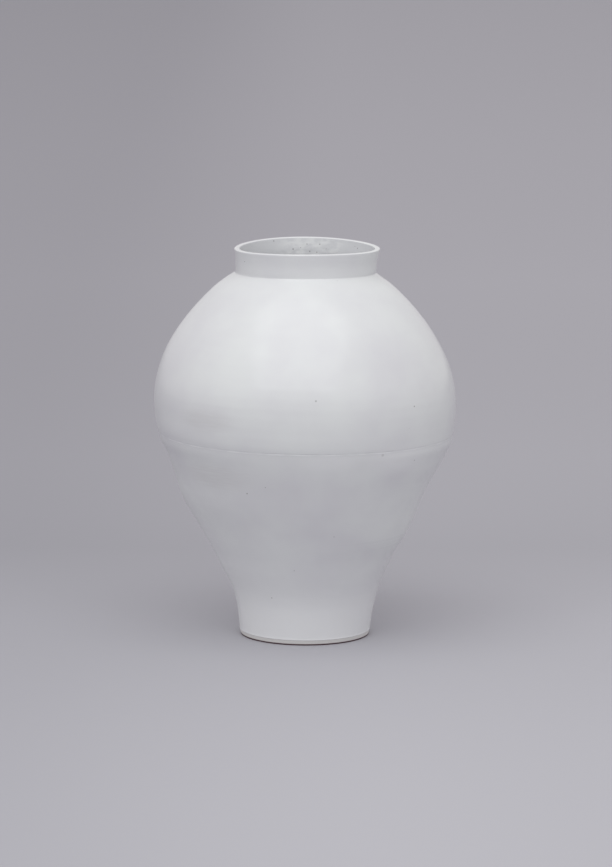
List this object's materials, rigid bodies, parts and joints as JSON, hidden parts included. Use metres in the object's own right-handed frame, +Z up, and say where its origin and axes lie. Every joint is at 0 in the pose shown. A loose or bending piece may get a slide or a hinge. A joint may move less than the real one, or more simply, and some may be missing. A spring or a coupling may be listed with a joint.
{
  "type": "porcelain moon jar",
  "caption": "Tall white porcelain moon jar: round shoulder, short collar, tapering body and narrow foot ring, made as luted bowls under clear glaze.",
  "frame": {"origin": "centre of the foot ring, on the plane that the jar stands on", "axes": "+Z up along the jar's axis; +X to the right in the picture, seen along +Y"},
  "size_m": [0.4626, 0.4624, 0.6],
  "materials": {
    "porcelain_clay": "bare fired porcelain, matt and slightly warm",
    "luting_slip": "fired slip, matt",
    "clear_glaze": "clear glaze over white porcelain, soft satin gloss",
    "liner_glaze": "clear liner glaze over white porcelain, soft gloss"
  },
  "bodies": {
    "root": {"lower_bowl": "porcelain_clay", "belly_joint_slip": "luting_slip", "upper_bowl": "porcelain_clay", "neck_joint_slip": "luting_slip", "neck_collar": "porcelain_clay", "outer_glaze": "clear_glaze", "inner_glaze": "liner_glaze", "foot_glaze": "clear_glaze"}
  },
  "joints": []
}
